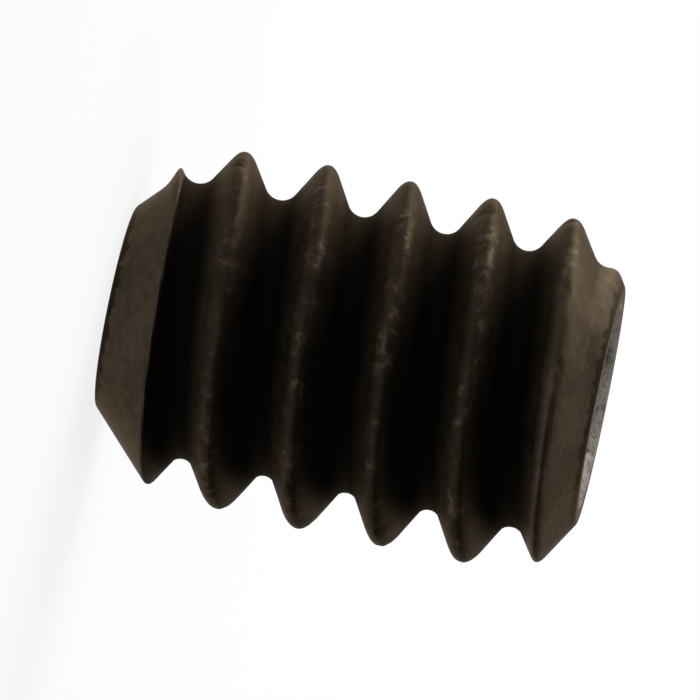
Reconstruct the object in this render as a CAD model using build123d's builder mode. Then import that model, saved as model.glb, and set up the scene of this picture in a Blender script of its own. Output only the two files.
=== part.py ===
"""Headless set screw with a cup point and a hexagon socket, one piece of black-oxide steel.

The screw stands on the rim of its cup point with the socket up. Its axis is +Z, and the origin is the centre
of the rim, on the surface that the screw stands on. Sizes are in millimetres, angles in degrees.
"""
import os
from math import radians, sin, tan

from build123d import *

# Body
screw_length = 4.67

# Unified coarse thread, right hand, 32 turns to the inch
thread_major_diameter = 3.43
thread_pitch = 0.79375
thread_angle = 60
thread_crest_width = 0.1
thread_root_radius = 0.16
thread_start_depth = 0.68

# Cup point
point_rim_diameter = 1.87
point_rim_width = 0.06
point_chamfer_angle = 46
cup_angle = 118

# Socket end
socket_face_diameter = 2.28
socket_chamfer_angle = 58
socket_across_flats = 1.5875
socket_depth = 2.03
socket_drill_angle = 118
socket_mouth_diameter = 1.93
socket_mouth_angle = 90
socket_sides = 6

# How far a cutter reaches past the surface it cuts
cut_overrun = 0.3

thread_major_radius = thread_major_diameter / 2
point_rim_radius = point_rim_diameter / 2
cup_radius = point_rim_radius - point_rim_width
cup_depth = cup_radius / tan(radians(cup_angle / 2))
point_chamfer_length = (thread_major_radius - point_rim_radius) / tan(radians(point_chamfer_angle))
socket_face_radius = socket_face_diameter / 2
socket_chamfer_length = (thread_major_radius - socket_face_radius) / tan(radians(socket_chamfer_angle))
socket_inner_radius = socket_across_flats / 2
socket_drill_depth = socket_inner_radius / tan(radians(socket_drill_angle / 2))
socket_mouth_radius = socket_mouth_diameter / 2
socket_mouth_depth = socket_mouth_radius / tan(radians(socket_mouth_angle / 2))

# Thread groove in the plane of the axis: straight flanks that are tangent to a round root
flank_angle = radians(thread_angle / 2)
groove_width = thread_pitch - thread_crest_width
vee_radius = thread_major_radius - groove_width / 2 / tan(flank_angle)
root_centre_radius = vee_radius + thread_root_radius / sin(flank_angle)
root_radius = root_centre_radius - thread_root_radius
tangent_radius = root_centre_radius - thread_root_radius * sin(flank_angle)
tangent_half_width = (tangent_radius - vee_radius) * tan(flank_angle)
mouth_radius = thread_major_radius + cut_overrun
mouth_half_width = (mouth_radius - vee_radius) * tan(flank_angle)

with BuildPart() as set_screw:
    # Turned blank, chamfered at both ends, with the cup hollowed into its point
    with BuildSketch(Plane.XZ) as blank_section:
        with BuildLine() as blank_outline:
            Polyline(
                (0, cup_depth),
                (cup_radius, 0),
                (point_rim_radius, 0),
                (thread_major_radius, point_chamfer_length),
                (thread_major_radius, screw_length - socket_chamfer_length),
                (socket_face_radius, screw_length),
                (0, screw_length),
                close=True,
            )
        make_face()
    revolve(axis=Axis.Z)

    # Thread groove, which enters below the point, at +X, and runs out through both chamfers
    with BuildLine() as groove_path:
        Helix(
            pitch=thread_pitch,
            height=thread_start_depth + screw_length + thread_pitch,
            radius=root_radius,
            center=(0, 0, -thread_start_depth),
        )
    with BuildSketch(Plane.XZ.shift_origin((0, 0, -thread_start_depth))) as groove_section:
        with BuildLine() as groove_outline:
            Polyline(
                (tangent_radius, tangent_half_width),
                (mouth_radius, mouth_half_width),
                (mouth_radius, -mouth_half_width),
                (tangent_radius, -tangent_half_width),
            )
            ThreePointArc(
                (tangent_radius, -tangent_half_width),
                (root_radius, 0),
                (tangent_radius, tangent_half_width),
            )
        make_face()
    sweep(path=groove_path.line, is_frenet=True, mode=Mode.SUBTRACT)

    # Hexagon socket with the cone of its drilled pilot hole and a countersunk mouth
    with BuildSketch(Plane.XY.offset(screw_length)) as socket_section:
        RegularPolygon(socket_inner_radius, socket_sides, major_radius=False)
    extrude(amount=-socket_depth, mode=Mode.SUBTRACT)
    with BuildSketch(Plane.XZ) as drill_section:
        with BuildLine() as drill_outline:
            Polyline(
                (0, screw_length - socket_depth - socket_drill_depth),
                (socket_inner_radius, screw_length - socket_depth),
                (0, screw_length - socket_depth),
                close=True,
            )
        make_face()
    revolve(axis=Axis.Z, mode=Mode.SUBTRACT)
    with BuildSketch(Plane.XZ) as mouth_section:
        with BuildLine() as mouth_outline:
            Polyline(
                (0, screw_length - socket_mouth_depth),
                (socket_mouth_radius, screw_length),
                (0, screw_length),
                close=True,
            )
        make_face()
    revolve(axis=Axis.Z, mode=Mode.SUBTRACT)

set_screw.part.label = "set_screw"
os.makedirs("parts", exist_ok=True)
export_step(set_screw.part, "parts/set_screw.step")
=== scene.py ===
"""Looks of a headless socket set screw: black-oxide steel, rolled thread, cup point and hexagon socket.

Lengths are in metres and angles in radians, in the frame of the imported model: +Z runs along the screw's axis,
from the cup point, whose rim stands on the floor at the origin, to the socket end.
"""

import logging
import math
from collections.abc import Callable
from dataclasses import dataclass, field, fields
from enum import Enum
from typing import Any, Union

import bmesh
import bpy
from mathutils import Matrix, Vector, noise


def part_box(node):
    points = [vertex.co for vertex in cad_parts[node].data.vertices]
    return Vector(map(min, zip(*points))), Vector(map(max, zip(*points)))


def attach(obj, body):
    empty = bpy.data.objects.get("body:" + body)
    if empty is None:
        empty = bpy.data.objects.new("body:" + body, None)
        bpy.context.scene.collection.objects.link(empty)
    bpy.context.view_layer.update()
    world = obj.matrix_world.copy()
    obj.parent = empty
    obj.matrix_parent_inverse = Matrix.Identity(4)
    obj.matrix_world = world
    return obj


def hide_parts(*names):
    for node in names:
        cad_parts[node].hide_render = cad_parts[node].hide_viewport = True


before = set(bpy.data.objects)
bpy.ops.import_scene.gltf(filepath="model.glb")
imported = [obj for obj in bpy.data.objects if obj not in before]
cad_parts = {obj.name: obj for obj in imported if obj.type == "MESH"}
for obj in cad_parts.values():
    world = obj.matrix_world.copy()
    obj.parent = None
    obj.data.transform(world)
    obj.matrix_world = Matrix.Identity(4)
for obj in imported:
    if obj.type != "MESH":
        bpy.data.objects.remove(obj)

LOG = logging.getLogger("set_screw")
MM = 0.001
TURN = 2 * math.pi
UP = Vector((0, 0, 1))
CUT_TOLERANCE = 1e-9
RING_TOLERANCE = 1e-7
WELD_DISTANCE = 2e-7
PATTERN_MIDDLE = 0.5

Ring = list[bmesh.types.BMEdge]
Spot = tuple[float, float]
RingShape = Callable[[float], Spot]
Colour = tuple[float, float, float]
Span = tuple[float, float]


class Node(Enum):
    """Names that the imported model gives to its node, body and material slot."""

    SCREW = "set_screw"
    BODY = "root"
    SLOT = "black_oxide_steel"


class End(Enum):
    """Ends of the screw, valued by the way along +Z that their face looks."""

    POINT = -1
    SOCKET = 1


def soft_min(a: float, b: float, blend: float) -> float:
    """Smaller of two lengths, with the corner between them rounded.

    Args:
        a: First length.
        b: Second length.
        blend: Difference of the lengths within which they run into each other.

    Returns:
        The rounded minimum.
    """
    overlap = max(blend - abs(a - b), 0)
    return min(a, b) - overlap * overlap / (4 * blend)


def hill(value: float, middle: float, width: float) -> float:
    """Bell curve of height 1 about a middle."""
    return math.exp(-(((value - middle) / width) ** 2))


@dataclass(frozen=True)
class ThreadForm:
    """Rolled thread in the plane of the screw's axis: straight flanks, round root, softened crest."""

    major_radius: float
    pitch: float = 0.79375 * MM
    flank_angle: float = math.radians(30)
    crest_width: float = 0.12 * MM
    crest_blend: float = 0.1 * MM
    root_round: float = 0.16 * MM
    groove_height: float = -0.68 * MM

    @property
    def vee_radius(self) -> float:
        """Radius at which the two flanks of a groove would meet."""
        return self.major_radius - (self.pitch - self.crest_width) / 2 / math.tan(self.flank_angle)

    @property
    def root_radius(self) -> float:
        """Radius at the bottom of the groove."""
        return self.vee_radius + self.root_round / math.sin(self.flank_angle) - self.root_round

    def crest_offset(self, angle: float, height: float) -> float:
        """Distance along the axis from the middle of the nearest crest.

        Args:
            angle: Angle about the axis from +X.
            height: Height above the point's rim.

        Returns:
            Signed distance, at most half a pitch either way.
        """
        crest = self.groove_height + self.pitch * (angle / TURN + 0.5)
        return (height - crest + self.pitch / 2) % self.pitch - self.pitch / 2

    def radius(self, offset: float) -> float:
        """Radius of the thread beside a crest.

        Args:
            offset: Distance along the axis from the middle of the crest.

        Returns:
            Radius on the root's round, the flank or the crest.
        """
        across = self.pitch / 2 - abs(offset)
        if across < self.root_round * math.cos(self.flank_angle):
            centre = self.root_radius + self.root_round
            return centre - math.sqrt(self.root_round ** 2 - across ** 2)
        flank = self.vee_radius + across / math.tan(self.flank_angle)
        return soft_min(flank, self.major_radius, self.crest_blend)

    def crest_share(self, radius: float) -> float:
        """How far up from the root to the crest a radius is, 0 to 1."""
        return (radius - self.root_radius) / (self.major_radius - self.root_radius)

    def crowd(self, offset: float, share: float) -> float:
        """Moves an even row of offsets closer together at the crest and the root.

        Args:
            offset: Even distance from the middle of a crest.
            share: Share of the row spacing that is taken from crest and root.

        Returns:
            The crowded distance, which is the same at the crest, the mid flank and the root.
        """
        turn = 2 * TURN * offset / self.pitch
        return offset - share * self.pitch / 2 * math.sin(turn) / TURN


@dataclass(frozen=True)
class Ripple:
    """Smooth unevenness of the crests, with so many waves to the outside radius."""

    waves: float
    depth: float

    def rise(self, spot: Vector) -> float:
        """Rise of a crest at a spot that is measured in outside radii."""
        return noise.noise(spot * self.waves) * self.depth


@dataclass(frozen=True)
class Nicks:
    """Small dents in the crests, where a noise pattern passes a level."""

    waves: float = 8
    shift: tuple[float, float, float] = (7, 3, 5)
    level: float = 0.42
    depth: float = 0.12 * MM

    def fall(self, spot: Vector) -> float:
        """Depth of a dent at a spot that is measured in outside radii."""
        return self.depth * max(noise.noise(spot * self.waves + Vector(self.shift)) - self.level, 0)


@dataclass(frozen=True)
class LowCrests:
    """Part of the length where rolling didn't fill the crests."""

    middle: float
    width: float
    depth: float

    def fall(self, height: float) -> float:
        """How much lower the crests are at a height."""
        return self.depth * hill(height, self.middle, self.width)


@dataclass
class SetScrew:
    """The whole screw, one piece: thread, chamfered ends, cup point and hexagon socket."""

    name: str = "screw_body"

    # Cup point
    point_rim_radius: float = 0.96 * MM
    point_chamfer: float = math.radians(46)
    point_round: float = 0.07 * MM
    point_blend: float = 0.05 * MM
    cup_radius: float = 0.875 * MM
    cup_half_angle: float = math.radians(59)
    cup_rows: tuple[float, ...] = (1.0, 0.97, 0.6, 0.2)

    # Socket end
    face_radius: float = 1.14 * MM
    face_chamfer: float = math.radians(58)
    face_round: float = 0.05 * MM
    face_blend: float = 0.13 * MM
    socket_sides: int = 6
    socket_inner: float = 1.5875 / 2 * MM
    socket_depth: float = 2.03 * MM
    socket_corner_blend: float = 0.03 * MM
    mouth_radius: float = 0.965 * MM
    mouth_ease: float = 0.015 * MM
    drill_half_angle: float = math.radians(59)
    drill_edge: float = 0.99
    drill_rows: tuple[float, ...] = (0.95, 0.4)

    # Lip that rolling left where the thread starts on the point
    burr_height: float = 0.33 * MM
    burr_rise: float = 0.10 * MM
    burr_width: float = 0.06 * MM
    burr_spread: float = 0.5
    burr_climb: float = 0.63

    # Unevenness of the rolled crests
    ripples: tuple[Ripple, ...] = (Ripple(5, 0.008 * MM), Ripple(21, 0.003 * MM))
    nicks: Nicks = Nicks()
    low_crests: tuple[LowCrests, ...] = (
        LowCrests(0.9 * MM, 0.6 * MM, 0.045 * MM),
        LowCrests(4.4 * MM, 0.42 * MM, 0.065 * MM),
    )

    # Fineness of the mesh
    rows_per_pitch: int = 72
    steps_per_turn: int = 180
    spare_turns: int = 2
    lead_in: float = 1.5
    weld_share: float = 0.1
    crowding_share: float = 0.55
    round_steps: int = 5
    sharp_angle: float = math.radians(32)

    length: float = field(init=False)
    thread: ThreadForm = field(init=False)

    def __post_init__(self) -> None:
        """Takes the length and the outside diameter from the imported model."""
        low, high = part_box(Node.SCREW.value)
        self.length = high.z - low.z
        self.thread = ThreadForm(major_radius=min(high.x, high.y, -low.x, -low.y))

    def cone_radii(self, height: float) -> tuple[float, float]:
        """Radii of the two end cones at a height.

        Args:
            height: Height above the point's rim.

        Returns:
            Radius of the point's cone, then of the socket end's.
        """
        point = self.point_rim_radius + height * math.tan(self.point_chamfer)
        face = self.face_radius + (self.length - height) * math.tan(self.face_chamfer)
        return point, face

    def burr(self, angle: float, height: float) -> float:
        """Height of the lip where the thread starts on the point's cone.

        Args:
            angle: Angle about the axis from +X.
            height: Height above the point's rim.

        Returns:
            Rise above the cone, which fades out round the axis and across the lip.
        """
        past = angle % TURN - math.pi
        middle = self.burr_height + self.burr_climb * self.thread.pitch * past / TURN
        return self.burr_rise * hill(past, 0, self.burr_spread) * hill(height, middle, self.burr_width)

    def surface_radius(self, angle: float, height: float) -> float:
        """Radius of the threaded surface between the two end faces.

        Args:
            angle: Angle about the axis from +X.
            height: Height above the point's rim.

        Returns:
            Radius with the chamfers and the rolled thread's unevenness.
        """
        thread = self.thread
        radius = thread.radius(thread.crest_offset(angle, height))
        spot = Vector((math.cos(angle), math.sin(angle), height / thread.major_radius))
        uneven = sum(ripple.rise(spot) for ripple in self.ripples)
        low = sum(part.fall(height) for part in self.low_crests)
        radius += thread.crest_share(radius) * (uneven - low - self.nicks.fall(spot))
        point, face = self.cone_radii(height)
        radius = soft_min(radius, point + self.burr(angle, height), self.point_blend)
        radius = soft_min(radius, face, self.face_blend)
        return min(radius, thread.major_radius)

    def thread_shell(self) -> bmesh.types.BMesh:
        """Sweeps one pitch of the thread up the axis, repeats it and gives it its shape.

        Returns:
            Open shell that reaches past both ends of the screw.
        """
        thread = self.thread
        bm = bmesh.new()
        start = -self.lead_in * thread.pitch
        ends = [bm.verts.new((thread.major_radius, 0, z)) for z in (start, start + thread.pitch)]
        bmesh.ops.subdivide_edges(bm, edges=[bm.edges.new(ends)], cuts=self.rows_per_pitch - 1)
        # A spin that climbs ends one pitch above its start, so it can't be merged onto itself
        bmesh.ops.spin(
            bm,
            geom=bm.verts[:] + bm.edges[:],
            cent=(0, 0, 0),
            axis=UP,
            dvec=UP * thread.pitch / self.steps_per_turn,
            angle=TURN,
            steps=self.steps_per_turn,
            use_merge=False,
            use_duplicate=False,
        )
        first_turn = bm.verts[:] + bm.edges[:] + bm.faces[:]
        for turn in range(1, math.ceil(self.length / thread.pitch) + self.spare_turns):
            copied = bmesh.ops.duplicate(bm, geom=first_turn)["geom"]
            verts = [g for g in copied if isinstance(g, bmesh.types.BMVert)]
            bmesh.ops.translate(bm, verts=verts, vec=UP * thread.pitch * turn)
        row = thread.pitch / self.rows_per_pitch
        bmesh.ops.remove_doubles(bm, verts=bm.verts[:], dist=row * self.weld_share)
        for vert in bm.verts:
            angle = math.atan2(vert.co.y, vert.co.x)
            offset = thread.crest_offset(angle, vert.co.z)
            height = vert.co.z + thread.crowd(offset, self.crowding_share) - offset
            radius = self.surface_radius(angle, height)
            vert.co = (radius * math.cos(angle), radius * math.sin(angle), height)
        return bm

    @staticmethod
    def trim(bm: bmesh.types.BMesh, height: float, end: End) -> Ring:
        """Cuts the shell off at one end.

        Args:
            bm: Shell to cut.
            height: Height of the cut.
            end: End whose side of the cut is thrown away.

        Returns:
            Edges of the open ring that the cut leaves.
        """
        bmesh.ops.bisect_plane(
            bm,
            geom=bm.verts[:] + bm.edges[:] + bm.faces[:],
            dist=CUT_TOLERANCE,
            plane_co=UP * height,
            plane_no=UP * end.value,
            clear_outer=True,
        )
        return [
            e for e in bm.edges
            if e.is_boundary and all(abs(v.co.z - height) < RING_TOLERANCE for v in e.verts)
        ]

    @staticmethod
    def add_ring(bm: bmesh.types.BMesh, ring: Ring, shape: RingShape) -> Ring:
        """Extrudes an open ring once and gives the new ring its shape.

        Args:
            bm: Mesh that holds the ring.
            ring: Open edges to extrude.
            shape: Radius and height of the new ring at an angle about the axis.

        Returns:
            Edges of the new open ring.
        """
        made = bmesh.ops.extrude_edge_only(bm, edges=ring)["geom"]
        verts = {g for g in made if isinstance(g, bmesh.types.BMVert)}
        for vert in verts:
            angle = math.atan2(vert.co.y, vert.co.x)
            radius, height = shape(angle)
            vert.co = (radius * math.cos(angle), radius * math.sin(angle), height)
        return [g for g in made if isinstance(g, bmesh.types.BMEdge) and set(g.verts) <= verts]

    @classmethod
    def add_round_rings(cls, bm: bmesh.types.BMesh, ring: Ring, spots: list[Spot]) -> Ring:
        """Extrudes an open ring into a row of round rings.

        Args:
            bm: Mesh that holds the ring.
            ring: Open edges to extrude.
            spots: Radius and height of each new ring.

        Returns:
            Edges of the last ring.
        """
        for spot in spots:
            ring = cls.add_ring(bm, ring, lambda _, spot=spot: spot)
        return ring

    @staticmethod
    def close_ring(bm: bmesh.types.BMesh, ring: Ring, height: float) -> None:
        """Closes a ring with a fan of faces to a tip on the axis.

        Args:
            bm: Mesh that holds the ring.
            ring: Open edges to close.
            height: Height of the tip.
        """
        made = bmesh.ops.extrude_edge_only(bm, edges=ring)["geom"]
        verts = [g for g in made if isinstance(g, bmesh.types.BMVert)]
        bmesh.ops.pointmerge(bm, verts=verts, merge_co=UP * height)

    def rounded_corner(self, corner: Spot, slope: float, size: float, end: End) -> tuple[float, list[Spot]]:
        """Rounds the corner between an end cone and its flat face.

        Args:
            corner: Radius and height of the sharp corner.
            slope: Angle of the cone from the axis.
            size: Radius of the rounding.
            end: End that the corner belongs to.

        Returns:
            Height at which the rounding leaves the cone, and the radius and height of each ring after it.
        """
        radius, height = corner
        swing = math.pi / 2 - slope
        middle = radius - size * math.tan(swing / 2)
        rings = []
        for step in range(1, self.round_steps + 1):
            turn = swing * (1 - step / self.round_steps)
            rings.append((middle + size * math.sin(turn), height - end.value * size * (1 - math.cos(turn))))
        return height - end.value * size * (1 - math.cos(swing)), rings

    def hexagon(self, angle: float) -> float:
        """Radius of the socket's wall, with its corners eased.

        Args:
            angle: Angle about the axis from +X, where a corner is.

        Returns:
            Distance of the wall from the axis.
        """
        side = TURN / self.socket_sides
        across = (angle + side / 2) % side - side / 2
        wall = self.socket_inner / math.cos(side / 2 - abs(across))
        corner = self.socket_inner / math.cos(side / 2)
        return soft_min(wall, corner, self.socket_corner_blend)

    def meet_corners(self, ring: Ring) -> None:
        """Moves the nearest vertex of a ring round to each corner of the hexagon.

        Args:
            ring: Edges of a round ring.
        """
        verts = {v for e in ring for v in e.verts}
        for corner in range(self.socket_sides):
            angle = corner * TURN / self.socket_sides
            way = Vector((math.cos(angle), math.sin(angle)))
            nearest = max(verts, key=lambda v: v.co.xy.normalized().dot(way))
            nearest.co.xy = way * nearest.co.xy.length

    def add_cup(self, bm: bmesh.types.BMesh) -> None:
        """Rounds the point's rim and hollows the cup into it.

        Args:
            bm: Shell, open below.
        """
        corner = (self.point_rim_radius, 0.0)
        height, rings = self.rounded_corner(corner, self.point_chamfer, self.point_round, End.POINT)
        ring = self.add_round_rings(bm, self.trim(bm, height, End.POINT), rings)
        depth = self.cup_radius / math.tan(self.cup_half_angle)
        cup = [(self.cup_radius * share, depth * (1 - share)) for share in self.cup_rows]
        self.close_ring(bm, self.add_round_rings(bm, ring, cup), depth)

    def add_socket(self, bm: bmesh.types.BMesh) -> None:
        """Rounds the socket end's edge, makes its flat face and sinks the hexagon socket into it.

        Args:
            bm: Shell, open above.
        """
        top = self.length
        floor = top - self.socket_depth
        tip = floor - self.socket_inner / math.tan(self.drill_half_angle)
        ease = self.mouth_ease

        def mouth(angle: float, out: float) -> Spot:
            """Spot on the countersunk mouth, at a distance out from the hexagon's wall."""
            radius = self.hexagon(angle) + out
            return radius, top - (self.mouth_radius - radius)

        walls: list[RingShape] = [
            lambda a: mouth(a, ease),
            lambda a: (self.hexagon(a), mouth(a, 0)[1] - ease / 2),
            lambda a: (self.hexagon(a), mouth(a, 0)[1] - 2 * ease),
            lambda a: (self.hexagon(a), (top + floor) / 2),
            lambda a: (self.hexagon(a), floor),
        ]
        face = [(self.mouth_radius + ease, top), (self.mouth_radius - ease / 2, top - ease / 2)]
        drill = [(self.socket_inner * self.drill_edge, floor)]
        drill += [(self.socket_inner * share, tip + (floor - tip) * share) for share in self.drill_rows]
        corner = (self.face_radius, top)
        height, rings = self.rounded_corner(corner, self.face_chamfer, self.face_round, End.SOCKET)
        ring = self.add_round_rings(bm, self.trim(bm, height, End.SOCKET), rings)
        self.meet_corners(ring)
        ring = self.add_round_rings(bm, ring, face)
        for wall in walls:
            ring = self.add_ring(bm, ring, wall)
        self.close_ring(bm, self.add_round_rings(bm, ring, drill), tip)

    def build(self) -> bpy.types.Object:
        """Builds the screw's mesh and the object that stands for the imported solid.

        Returns:
            The screw's object, with its place in the mesh.
        """
        bm = self.thread_shell()
        self.add_cup(bm)
        self.add_socket(bm)
        bmesh.ops.remove_doubles(bm, verts=bm.verts[:], dist=WELD_DISTANCE)
        bmesh.ops.recalc_face_normals(bm, faces=bm.faces[:])
        open_edges = sum(not e.is_manifold for e in bm.edges)
        triangles = sum(len(f.verts) - 2 for f in bm.faces)
        mesh = bpy.data.meshes.new(self.name)
        bm.to_mesh(mesh)
        bm.free()
        mesh.shade_smooth()
        mesh.set_sharp_from_angle(angle=self.sharp_angle)
        piece = bpy.data.objects.new(self.name, mesh)
        bpy.context.scene.collection.objects.link(piece)
        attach(piece, Node.BODY.value)
        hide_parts(Node.SCREW.value)
        LOG.info("%s: %d triangles, %d open edges", self.name, triangles, open_edges)
        return piece

    def dress(self, piece: bpy.types.Object, finish: "BlackOxide") -> None:
        """Gives the screw its finish.

        Args:
            piece: The screw's object.
            finish: Finish that it wears.
        """
        piece.data.materials.clear()
        piece.data.materials.append(finish.material(self))
        LOG.info("%s: finish %s", self.name, finish.name)


Operand = Union["Value", float]


class Value:
    """A shader socket that carries a number; arithmetic on it adds Math nodes."""

    def __init__(self, tree: "ShaderTree", socket: bpy.types.NodeSocket) -> None:
        """Wraps a socket of a tree."""
        self.tree = tree
        self.socket = socket

    def __add__(self, other: Operand) -> "Value":
        """Sum."""
        return self.tree.math("ADD", self, other)

    __radd__ = __add__

    def __sub__(self, other: Operand) -> "Value":
        """Difference."""
        return self.tree.math("SUBTRACT", self, other)

    def __rsub__(self, other: Operand) -> "Value":
        """Difference, the other way round."""
        return self.tree.math("SUBTRACT", other, self)

    def __mul__(self, other: Operand) -> "Value":
        """Product."""
        return self.tree.math("MULTIPLY", self, other)

    __rmul__ = __mul__


class Added:
    """A node just added to a tree, with short ways to its outputs."""

    def __init__(self, tree: "ShaderTree", node: bpy.types.Node) -> None:
        """Keeps the tree and the node."""
        self.tree = tree
        self.node = node

    def out(self, name: Union[str, int] = 0) -> bpy.types.NodeSocket:
        """An output socket by name or place."""
        return self.node.outputs[name]

    def value(self, name: Union[str, int] = 0) -> Value:
        """An output socket as a number to reckon with."""
        return Value(self.tree, self.out(name))


class ShaderTree:
    """Node tree of a material or a world, with one method that adds every node."""

    NOISE_ROUGHNESS = 0.6

    def __init__(self, owner: Union[bpy.types.Material, bpy.types.World]) -> None:
        """Empties the owner's node tree.

        Args:
            owner: Material or world whose tree is filled.
        """
        owner.use_nodes = True
        self.tree = owner.node_tree
        self.tree.nodes.clear()

    def node(
        self, kind: str, settings: dict[str, Any] | None = None, inputs: dict[Any, Any] | None = None
    ) -> Added:
        """Adds a node.

        Args:
            kind: Blender's name of the node's type.
            settings: Properties that are set first.
            inputs: Value, wrapped number or socket for each input, by name or place.

        Returns:
            The node added.
        """
        made = self.tree.nodes.new(kind)
        for key, value in (settings or {}).items():
            setattr(made, key, value)
        for key, value in (inputs or {}).items():
            source = value.socket if isinstance(value, Value) else value
            if isinstance(source, bpy.types.NodeSocket):
                self.tree.links.new(source, made.inputs[key])
            else:
                made.inputs[key].default_value = source
        return Added(self, made)

    def math(self, operation: str, first: Operand, second: Operand = 0.0) -> Value:
        """Result of a Math node."""
        return self.node("ShaderNodeMath", {"operation": operation}, {0: first, 1: second}).value()

    def vector(self, operation: str, first: bpy.types.NodeSocket, second: Any = (0, 0, 0)) -> Added:
        """A Vector Math node."""
        return self.node("ShaderNodeVectorMath", {"operation": operation}, {0: first, 1: second})

    def between(self, value: Operand, span: Span) -> Value:
        """Smooth step across a span.

        Args:
            value: Number to look at.
            span: Where the step starts and ends.

        Returns:
            0 up to the start, 1 from the end on.
        """
        settings = {"interpolation_type": "SMOOTHSTEP"}
        inputs = {"Value": value, "From Min": span[0], "From Max": span[1]}
        return self.node("ShaderNodeMapRange", settings, inputs).value()

    def mix(self, share: Operand, first: Any, second: Any) -> bpy.types.NodeSocket:
        """Colour between two colours.

        Args:
            share: How far the result lies toward the second colour.
            first: Socket or colour at share 0.
            second: Socket or colour at share 1.

        Returns:
            Socket of the mixed colour.
        """
        ends = [(*end, 1) if isinstance(end, tuple) else end for end in (first, second)]
        return self.node("ShaderNodeMix", {"data_type": "RGBA"}, {0: share, 6: ends[0], 7: ends[1]}).out(2)

    def noise(self, where: bpy.types.NodeSocket, size: float, detail: float) -> Value:
        """Noise from 0 to 1.

        Args:
            where: Coordinates that carry it.
            size: Size of its features, in the unit of the coordinates.
            detail: Number of finer layers on top.

        Returns:
            The noise as a wrapped number.
        """
        inputs = {"Vector": where, "Scale": 1 / size, "Detail": detail, "Roughness": self.NOISE_ROUGHNESS}
        return self.node("ShaderNodeTexNoise", {}, inputs).value(0)


@dataclass(frozen=True)
class Place:
    """Where a spot of the screw's surface lies, as wrapped numbers of a material's tree."""

    where: bpy.types.NodeSocket
    radius: Value
    height: Value
    angle: Value

    @classmethod
    def of(cls, tree: ShaderTree) -> "Place":
        """Reads the place from the screw's own coordinates.

        Args:
            tree: Node tree to add to.

        Returns:
            The place of the spot that is shaded.
        """
        where = tree.node("ShaderNodeTexCoord").out("Object")
        parts = tree.node("ShaderNodeSeparateXYZ", {}, {0: where})
        radius = tree.vector("LENGTH", tree.vector("MULTIPLY", where, (1, 1, 0)).out()).value("Value")
        angle = tree.math("ARCTAN2", parts.value("Y"), parts.value("X"))
        return cls(where, radius, parts.value("Z"), angle)


@dataclass(frozen=True)
class Grain:
    """Noise pattern of a finish."""

    size: float
    detail: float

    def on(self, tree: ShaderTree, where: bpy.types.NodeSocket) -> Value:
        """The pattern on a surface whose coordinates are given."""
        return tree.noise(where, self.size, self.detail)


@dataclass(frozen=True)
class Weights:
    """How much each pattern of a finish counts in a sum of them."""

    fine: float = 0.0
    speck: float = 0.0
    blotch: float = 0.0
    lines: float = 0.0


@dataclass(frozen=True)
class Patterns:
    """Patterns of a finish, each a wrapped number from 0 to 1."""

    fine: Value
    speck: Value
    blotch: Value
    lines: Value

    def sum(self, weights: Weights) -> Value:
        """Weighted sum of the patterns.

        Args:
            weights: Weight of each pattern; those of weight 0 are left out.

        Returns:
            The sum as a wrapped number.
        """
        used = [f.name for f in fields(weights) if getattr(weights, f.name)]
        total, *others = (getattr(self, name) * getattr(weights, name) for name in used)
        for other in others:
            total = total + other
        return total


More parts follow.
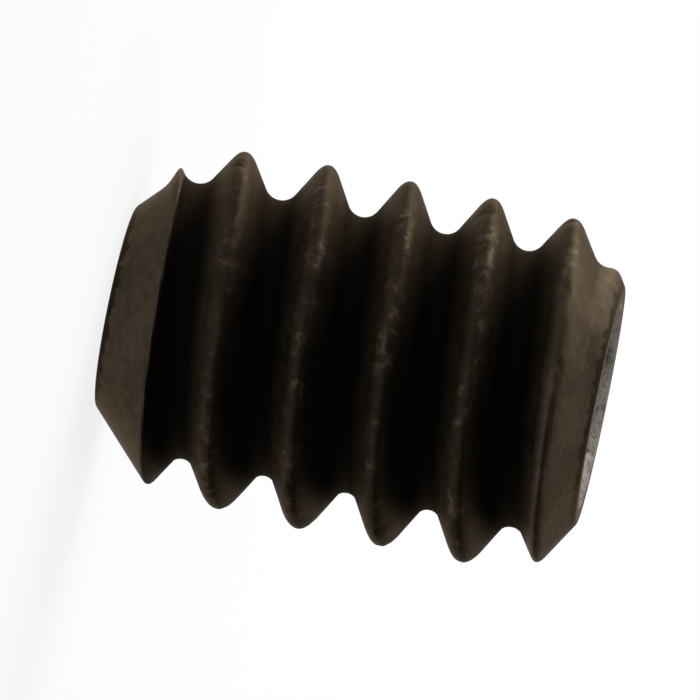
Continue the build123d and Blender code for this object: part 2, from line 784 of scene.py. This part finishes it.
@dataclass(frozen=True)
class BlackOxide:
    """Black-oxide coat on rolled steel: warm black, satin, rubbed on crests, worn off the socket's mouth, with
    painted shade that darkens the thread and turns its roots and the end edges near-black.
    """

    name: str = "black_oxide"

    # Colours of the turned ends, the thread darkened as painted shade, rubbed specks, worn steel, and the
    # near-black painted shade of the roots and end edges
    coat: Colour = (0.0305, 0.0240, 0.0176)
    brown: Colour = (0.0575, 0.0432, 0.0300)
    # Painted shade: the thread wears a darker copy of the ends' coat
    shaded_thread_coat: Colour = (0.0178, 0.0136, 0.0097)
    shaded_thread_brown: Colour = (0.0340, 0.0248, 0.0168)
    bare: Colour = (0.146, 0.118, 0.090)
    steel: Colour = (0.34, 0.32, 0.30)
    # Painted shade: the near-black put in the thread's roots and along the two end edges
    painted_shade: Colour = (0.005, 0.0043, 0.004)
    edge_tint: Colour = (0.76, 0.68, 0.585)

    # Patterns, and what each of them counts for
    fine: Grain = Grain(0.03 * MM, 2.0)
    speck: Grain = Grain(0.11 * MM, 2.0)
    blotch: Grain = Grain(0.45 * MM, 4.0)
    line_width: float = 0.022 * MM
    line_detail: float = 2.0
    broach_stretch: float = 0.06
    brown_weights: Weights = Weights(blotch=0.45, speck=0.35, lines=0.2)
    brown_span: Span = (0.36, 0.64)
    rubbed_weights: Weights = Weights(speck=0.6, blotch=0.4)
    rubbed_span: Span = (0.52, 0.66)
    rubbed_share: float = 0.28
    worn_weights: Weights = Weights(speck=0.5, lines=0.5)
    worn_span: Span = (0.28, 0.58)
    worn_share: float = 0.5
    # Painted shade: how far the dark band along the end edges goes toward near-black
    rim_shade_share: float = 0.8
    relief_weights: Weights = Weights(fine=0.35, speck=0.7, lines=0.5)
    relief_strength: float = 0.5
    relief_depth: float = 0.012 * MM

    # Roughness, and what adds to it
    roughness: float = 0.37
    rough_weights: Weights = Weights(fine=0.08, speck=0.10, lines=0.10)
    rough_rubbed: float = -0.04
    rough_groove: float = 0.2
    rough_thread: float = 0.08

    # Borders of the places, as distances from the root, the crest, the end cones and the mouth's cone
    outside_span: Span = (-0.06 * MM, -0.03 * MM)
    root_shade_span: Span = (0.02 * MM, 0.26 * MM)
    crest_span: Span = (-0.12 * MM, -0.02 * MM)
    point_span: Span = (0.01 * MM, 0.06 * MM)
    root_shade_face_span: Span = (0.06 * MM, 0.5 * MM)
    thread_face_span: Span = (0.1 * MM, 0.5 * MM)
    mouth_span: Span = (0.01 * MM, 0.03 * MM)
    socket_span: Span = (-0.03 * MM, 0.0)
    socket_reach: float = 1.2
    # Width of the painted shade's dark band along the end edges, and how uneven its border is
    rim_shade_span: Span = (0.055 * MM, 0.11 * MM)
    rim_shade_jag: float = 0.2 * MM

    @staticmethod
    def end_gaps(place: Place, screw: SetScrew) -> tuple[Value, Value]:
        """How far a spot lies inside the two end cones, measured across the axis.

        Args:
            place: Place of the spot.
            screw: Screw whose cones are meant.

        Returns:
            Gap to the point's cone, then to the socket end's.
        """
        point = screw.point_rim_radius + place.height * math.tan(screw.point_chamfer) - place.radius
        face = screw.face_radius + (screw.length - place.height) * math.tan(screw.face_chamfer) - place.radius
        return point, face

    def thread_shares(self, tree: ShaderTree, place: Place, screw: SetScrew) -> tuple[Value, Value]:
        """Whether a spot is on the rolled thread, and how far down in its groove, where shade is painted.

        Args:
            tree: Node tree to add to.
            place: Place of the spot.
            screw: Screw whose thread and end cones set the limits.

        Returns:
            1 on the thread and 0 on the ends and in the socket, then the share of painted shade, 1 at the root
            and 0 on the crests.
        """
        point, face = self.end_gaps(place, screw)
        above_root = place.radius - screw.thread.root_radius
        outside = tree.between(above_root, self.outside_span) * tree.between(point, self.point_span)
        thread = outside * tree.between(face, self.thread_face_span)
        # Painted shade: its share grows toward the thread's roots
        painted_shade = 1 - tree.between(above_root, self.root_shade_span)
        return thread, outside * painted_shade * tree.between(face, self.root_shade_face_span)

    def rim(self, tree: ShaderTree, place: Place, edge: Spot, jag: Value) -> Value:
        """How near a spot lies to the round edge of an end, where a dark band of painted shade goes.

        Args:
            tree: Node tree to add to.
            place: Place of the spot.
            edge: Radius and height of the edge.
            jag: Pattern that makes the border uneven.

        Returns:
            1 on the edge, 0 away from it, with an uneven border.
        """
        out = place.radius - edge[0]
        along = place.height - edge[1]
        away = tree.math("SQRT", out * out + along * along)
        return 1 - tree.between(away + (jag - PATTERN_MIDDLE) * self.rim_shade_jag, self.rim_shade_span)

    def mouth(self, tree: ShaderTree, place: Place, screw: SetScrew) -> Value:
        """Whether a spot is on the countersunk mouth of the socket, where keys slide in.

        Args:
            tree: Node tree to add to.
            place: Place of the spot.
            screw: Screw whose socket is meant.

        Returns:
            1 on the mouth, 0 elsewhere.
        """
        above = place.height - place.radius - (screw.length - screw.mouth_radius)
        return 1 - tree.between(tree.math("ABSOLUTE", above), self.mouth_span)

    def rolled_lines(self, tree: ShaderTree, place: Place, thread: ThreadForm) -> Value:
        """Fine lines that the rolling dies and the lathe left, along the thread and round the ends.

        Args:
            tree: Node tree to add to.
            place: Place of the spot.
            thread: Thread that the lines follow.

        Returns:
            The pattern, from 0 to 1.
        """
        phase = place.height * (TURN / thread.pitch) - place.angle
        reach = thread.pitch / TURN / self.line_width
        inputs = {
            0: tree.math("COSINE", phase) * reach,
            1: tree.math("SINE", phase) * reach,
            2: place.radius * (1 / self.line_width),
        }
        across = tree.node("ShaderNodeCombineXYZ", {}, inputs).out()
        return tree.noise(across, 1.0, self.line_detail)

    def broached_lines(self, tree: ShaderTree, place: Place) -> Value:
        """Lines that the broach left down the socket's walls.

        Args:
            tree: Node tree to add to.
            place: Place of the spot.

        Returns:
            The pattern, from 0 to 1.
        """
        squeezed = tree.vector("MULTIPLY", place.where, (1, 1, self.broach_stretch)).out()
        return tree.noise(squeezed, self.line_width, self.line_detail)

    def patterns(self, tree: ShaderTree, place: Place, screw: SetScrew) -> Patterns:
        """Lays out the finish's patterns.

        Args:
            tree: Node tree to add to.
            place: Place of the spot.
            screw: Screw that wears the finish.

        Returns:
            The patterns at the spot; its lines run down the socket and round everything else.
        """
        low = screw.length - self.socket_reach * screw.socket_depth
        in_socket = 1 - tree.between(place.radius - screw.mouth_radius, self.socket_span)
        in_socket = in_socket * tree.between(place.height, (low, screw.length / 2))
        rolled = self.rolled_lines(tree, place, screw.thread)
        lines = rolled * (1 - in_socket) + self.broached_lines(tree, place) * in_socket
        grains = [grain.on(tree, place.where) for grain in (self.fine, self.speck, self.blotch)]
        return Patterns(*grains, lines)

    def material(self, screw: SetScrew) -> bpy.types.Material:
        """Makes the finish.

        Args:
            screw: Screw that wears it, for the places of its crests, grooves and edges.

        Returns:
            A material whose patterns follow the screw's own coordinates.
        """
        made = bpy.data.materials.new(self.name)
        tree = ShaderTree(made)
        place = Place.of(tree)
        patterns = self.patterns(tree, place, screw)
        thread, groove = self.thread_shares(tree, place, screw)
        edges = [(screw.face_radius, screw.length), (screw.point_rim_radius, 0.0)]
        # Painted shade: dark bands along the edges of both ends
        face_rim_shade, point_rim_shade = (self.rim(tree, place, edge, patterns.speck) for edge in edges)
        crest = tree.between(place.radius - screw.thread.major_radius, self.crest_span)
        rubbed = crest * tree.between(patterns.sum(self.rubbed_weights), self.rubbed_span)
        worn = self.mouth(tree, place, screw)
        worn = worn * tree.between(patterns.sum(self.worn_weights), self.worn_span)
        browned = tree.between(patterns.sum(self.brown_weights), self.brown_span)
        turned = tree.mix(browned, self.coat, self.brown)
        # Painted shade: the thread gets the darker copy of the coat
        threaded = tree.mix(browned, self.shaded_thread_coat, self.shaded_thread_brown)
        colour = tree.mix(thread, turned, threaded)
        colour = tree.mix(rubbed * self.rubbed_share, colour, self.bare)
        colour = tree.mix(worn * self.worn_share, colour, self.steel)
        # Painted shade along the end edges
        colour = tree.mix((face_rim_shade + point_rim_shade) * self.rim_shade_share, colour, self.painted_shade)
        # Painted shade in the thread's roots
        colour = tree.mix(groove, colour, self.painted_shade)
        rough = self.roughness + patterns.sum(self.rough_weights)
        rough = rough + rubbed * self.rough_rubbed + groove * self.rough_groove + thread * self.rough_thread
        relief = {
            "Strength": self.relief_strength,
            "Distance": self.relief_depth,
            "Height": patterns.sum(self.relief_weights),
        }
        surface = {
            "Base Color": colour,
            "Metallic": 1.0,
            "Roughness": rough,
            "Specular Tint": (*self.edge_tint, 1),
            "Normal": tree.node("ShaderNodeBump", {}, relief).out(),
        }
        shader = tree.node("ShaderNodeBsdfPrincipled", {}, surface).out()
        tree.node("ShaderNodeOutputMaterial", {}, {"Surface": shader})
        return made


@dataclass(frozen=True)
class SoftLamp:
    """A square soft lamp, as bright as white paper times its brightness, that looks at the screw."""

    name: str
    direction: tuple[float, float, float]
    distance: float
    size: float
    brightness: float

    def hang(self, aim: Vector) -> bpy.types.Object:
        """Hangs the lamp.

        Args:
            aim: Point that it looks at.

        Returns:
            The lamp's object.
        """
        light = bpy.data.lights.new(self.name, "AREA")
        light.size = self.size
        # A flat lamp of this power sends out a radiance equal to its brightness
        light.energy = self.brightness * math.pi * self.size ** 2
        made = bpy.data.objects.new(self.name, light)
        towards = Vector(self.direction).normalized()
        turned = (-towards).to_track_quat("-Z", "Y").to_matrix().to_4x4()
        made.matrix_world = Matrix.Translation(aim + towards * self.distance) @ turned
        bpy.context.scene.collection.objects.link(made)
        LOG.info("%s: lamp of %.0f mm", self.name, self.size / MM)
        return made


@dataclass
class Studio:
    """Pale floor, soft lamps, dim surroundings and the camera at the photograph's angle."""

    # Floor, which glows fully white away from the screw
    floor_size: float = 0.4
    floor_reach: float = 60.0
    floor_colour: Colour = (0.9, 0.9, 0.9)
    floor_glow: float = 0.84
    glow_span: Span = (12 * MM, 60 * MM)

    # Surroundings, as shares of white and limits of a direction's Z and X
    dimness: float = 0.1
    rise_span: Span = (0.10, 0.36)
    shade_depth: float = 0.5
    shade_span: Span = (-0.2, 0.8)

    lamps: tuple[SoftLamp, ...] = (
        SoftLamp("back_top", (-0.15, 0.5, 0.86), 80 * MM, 115 * MM, 1.3),
        SoftLamp("side", (-0.76, 0.36, 0.52), 80 * MM, 60 * MM, 4.0),
        SoftLamp("front", (-0.60, -0.65, 0.45), 90 * MM, 80 * MM, 0.5),
        SoftLamp("low_back", (-0.77, 0.62, 0.17), 80 * MM, 26 * MM, 6.0),
    )

    # Camera
    distance: float = 110 * MM
    elevation: float = math.radians(4.0)
    roll: float = math.radians(11.64)
    frame_width: float = 6.60 * MM
    centre_height: float = 2.32 * MM
    centre_right: float = 0.064 * MM
    centre_down: float = 0.052 * MM
    sensor: float = 36.0
    near_share: float = 0.01

    def camera(self) -> bpy.types.Object:
        """Makes the camera: it looks along +Y, a little down, with the screw's axis to the right and down.

        Returns:
            The camera's object, which is the scene's camera.
        """
        across = Vector((1, 0, 0))
        back = Vector((0, -math.cos(self.elevation), math.sin(self.elevation)))
        along = back.cross(across)
        right = along * math.cos(self.roll) - across * math.sin(self.roll)
        up = -along * math.sin(self.roll) - across * math.cos(self.roll)
        aim = UP * self.centre_height - right * self.centre_right + up * self.centre_down
        lens = bpy.data.cameras.new("camera")
        lens.sensor_width = self.sensor
        lens.lens = self.sensor * self.distance / self.frame_width
        lens.clip_start = self.distance * self.near_share
        lens.clip_end = 2 * self.floor_reach
        made = bpy.data.objects.new("camera", lens)
        turned = Matrix((right, up, back)).transposed()
        made.matrix_world = Matrix.Translation(aim + back * self.distance) @ turned.to_4x4()
        bpy.context.scene.collection.objects.link(made)
        bpy.context.scene.camera = made
        LOG.info("camera: %.0f mm lens", lens.lens)
        return made

    def floor_paint(self) -> bpy.types.Material:
        """Makes the floor's paint: white to the camera and in reflections, with the lamps' shadows on it.

        Returns:
            The paint's material.
        """
        made = bpy.data.materials.new("pale_floor")
        tree = ShaderTree(made)
        path = tree.node("ShaderNodeLightPath")
        seen = path.value("Is Camera Ray") + path.value("Is Glossy Ray") + path.value("Is Transmission Ray")
        paint = tree.node("ShaderNodeBsdfDiffuse", {}, {"Color": (*self.floor_colour, 1)}).out()
        white = tree.node("ShaderNodeEmission", {}, {"Color": (1, 1, 1, 1), "Strength": 1.0}).out()
        away = tree.vector("LENGTH", tree.node("ShaderNodeTexCoord").out("Object")).value("Value")
        glow = self.floor_glow + tree.between(away, self.glow_span) * (1 - self.floor_glow)
        share = tree.between(seen, (0, 1)) * glow
        mixed = tree.node("ShaderNodeMixShader", {}, {0: share, 1: paint, 2: white}).out()
        tree.node("ShaderNodeOutputMaterial", {}, {"Surface": mixed})
        return made

    def floor(self) -> bpy.types.Object:
        """Makes the floor that the screw stands on, which reaches out to the horizon.

        Returns:
            The floor's object.
        """
        bm = bmesh.new()
        bmesh.ops.create_grid(bm, x_segments=1, y_segments=1, size=self.floor_size / 2)
        made = bmesh.ops.extrude_edge_only(bm, edges=bm.edges[:])["geom"]
        verts = [g for g in made if isinstance(g, bmesh.types.BMVert)]
        bmesh.ops.scale(bm, vec=Vector((1, 1, 1)) * self.floor_reach / self.floor_size, verts=verts)
        bmesh.ops.recalc_face_normals(bm, faces=bm.faces[:])
        if bm.faces[:][0].normal.z < 0:
            bmesh.ops.reverse_faces(bm, faces=bm.faces[:])
        mesh = bpy.data.meshes.new("floor")
        bm.to_mesh(mesh)
        bm.free()
        mesh.materials.append(self.floor_paint())
        floor = bpy.data.objects.new("floor", mesh)
        bpy.context.scene.collection.objects.link(floor)
        LOG.info("floor: %.0f m across", self.floor_reach)
        return floor

    def surroundings(self) -> None:
        """Makes the world white at the horizon, as a paper sweep is, dim above it and shaded toward +X."""
        world = bpy.data.worlds.new("studio")
        bpy.context.scene.world = world
        tree = ShaderTree(world)
        direction = tree.node("ShaderNodeTexCoord").out("Generated")
        parts = tree.node("ShaderNodeSeparateXYZ", {}, {0: direction})
        seen = tree.node("ShaderNodeLightPath").value("Is Camera Ray")
        shade = (1 - seen) * tree.between(parts.value("X"), self.shade_span) * self.shade_depth
        pale = 1 - tree.between(parts.value("Z"), self.rise_span) * (1 - self.dimness)
        inputs = {"Color": (1, 1, 1, 1), "Strength": pale * (1 - shade)}
        light = tree.node("ShaderNodeBackground", {}, inputs).out()
        tree.node("ShaderNodeOutputWorld", {}, {"Surface": light})
        LOG.info("surroundings: white at the horizon, %.0f%% above", self.dimness * 100)

    def build(self) -> None:
        """Sets up everything around the screw."""
        self.floor()
        self.surroundings()
        for lamp in self.lamps:
            lamp.hang(UP * self.centre_height)
        self.camera()
        bpy.context.scene.view_settings.view_transform = "Standard"


def main() -> None:
    """Builds the screw and the studio around it."""
    logging.basicConfig(level=logging.INFO, format="%(name)s %(message)s")
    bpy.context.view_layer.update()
    screw = SetScrew()
    piece = screw.build()
    screw.dress(piece, BlackOxide())
    Studio().build()


if __name__ == "__main__":
    main()
